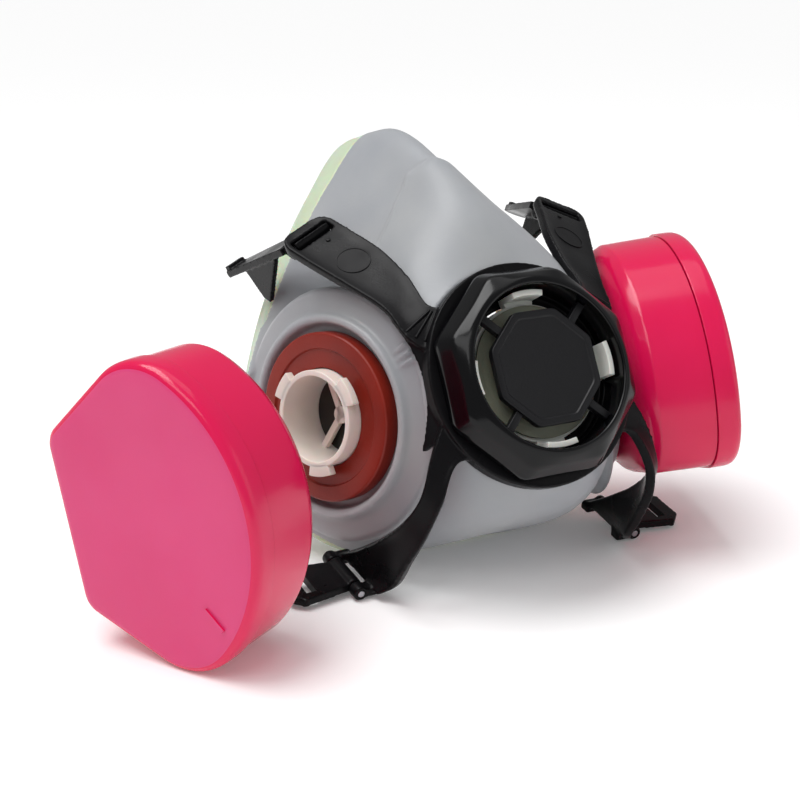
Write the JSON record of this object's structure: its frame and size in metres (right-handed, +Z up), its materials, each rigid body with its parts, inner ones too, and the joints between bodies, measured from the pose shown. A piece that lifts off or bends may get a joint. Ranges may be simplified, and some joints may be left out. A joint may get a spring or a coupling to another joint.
{
  "type": "half mask respirator",
  "caption": "Half-face respirator: silicone facepiece, black strap yoke, exhalation valve and twist-lock filter cartridges, one of them taken off and standing beside its port.",
  "frame": {"origin": "on the table, on the facepiece's mid-plane, under the middle of the chin's resting patch", "axes": "+X towards the fitted cartridge, -Y the way the valve cover looks, +Z up from the table"},
  "size_m": [0.2118, 0.1372, 0.1189],
  "materials": {
    "facepiece_silicone": "translucent satin silicone",
    "seal_silicone": "thin translucent silicone",
    "satin_black": "satin moulded",
    "gloss_black": "polished moulded",
    "cream_plastic": "satin moulded",
    "flap_rubber": "thin matt rubber",
    "gasket_rubber": "matt rubber",
    "cartridge_plastic": "glossy moulded",
    "filter_media": "pleated fibre",
    "pin_steel": "plain drawn pin"
  },
  "bodies": {
    "facepiece": {"facepiece": "facepiece_silicone", "face_seal": "seal_silicone", "harness_yoke": "satin_black", "valve_cover": "gloss_black", "valve_guard": "satin_black", "exhalation_seat": "cream_plastic", "left_buckle_pin": "pin_steel", "left_bayonet_tube": "cream_plastic", "left_gasket": "gasket_rubber", "right_buckle_pin": "pin_steel", "right_bayonet_tube": "cream_plastic", "right_gasket": "gasket_rubber"},
    "left_cartridge": {"left_cartridge_cover": "cartridge_plastic", "left_cartridge_body": "cartridge_plastic", "left_bayonet_plate": "cartridge_plastic", "left_filter_pack": "filter_media"},
    "right_cartridge": {"right_cartridge_cover": "cartridge_plastic", "right_cartridge_body": "cartridge_plastic", "right_bayonet_plate": "cartridge_plastic", "right_filter_pack": "filter_media"},
    "exhalation_flap": {"exhalation_flap": "flap_rubber"},
    "left_inhalation_flap": {"left_inhalation_flap": "flap_rubber"},
    "left_strap_clip": {"left_strap_clip": "satin_black"},
    "left_strap_buckle": {"left_strap_buckle": "satin_black"},
    "right_inhalation_flap": {"right_inhalation_flap": "flap_rubber"},
    "right_strap_clip": {"right_strap_clip": "satin_black"},
    "right_strap_buckle": {"right_strap_buckle": "satin_black"}
  },
  "joints": [
    {"name": "left_cartridge_slide", "type": "slide", "parent": "facepiece", "child": "left_cartridge", "axis": [0.9227, 0.3022, 0.2392], "range_m": [0, 0.016]},
    {"name": "right_cartridge_twist", "type": "hinge", "parent": "facepiece", "child": "right_cartridge", "pos_m": [0.0456, -0.0052, 0.04684], "axis": [0.9301, -0.3472, 0.1194], "range_deg": [0, 35]},
    {"name": "exhalation_flap_lift", "type": "slide", "parent": "facepiece", "child": "exhalation_flap", "axis": [0, -0.8829, 0.4695], "range_m": [0, 0.0015]},
    {"name": "left_inhalation_flap_lift", "type": "slide", "parent": "facepiece", "child": "left_inhalation_flap", "axis": [0.9301, 0.3472, -0.1194], "range_m": [0, 0.0012]},
    {"name": "right_inhalation_flap_lift", "type": "slide", "parent": "facepiece", "child": "right_inhalation_flap", "axis": [-0.9301, 0.3472, -0.1194], "range_m": [0, 0.0012]},
    {"name": "left_strap_clip_hinge", "type": "hinge", "parent": "facepiece", "child": "left_strap_clip", "pos_m": [-0.04214, 0.01436, 0.09423], "axis": [0.8989, 0.2158, 0.3813], "range_deg": [-1, 14]},
    {"name": "right_strap_clip_hinge", "type": "hinge", "parent": "facepiece", "child": "right_strap_clip", "pos_m": [0.04214, 0.01436, 0.09423], "axis": [0.8989, -0.2158, -0.3813], "range_deg": [-1, 14]},
    {"name": "left_strap_buckle_hinge", "type": "hinge", "parent": "facepiece", "child": "left_strap_buckle", "pos_m": [-0.0467, -0.01827, 0.00395], "axis": [-0.0265, 0.9839, 0.1768], "range_deg": [-3, 15]},
    {"name": "right_strap_buckle_hinge", "type": "hinge", "parent": "facepiece", "child": "right_strap_buckle", "pos_m": [0.0467, -0.01827, 0.00395], "axis": [-0.0265, -0.9839, -0.1768], "range_deg": [-3, 15]}
  ]
}
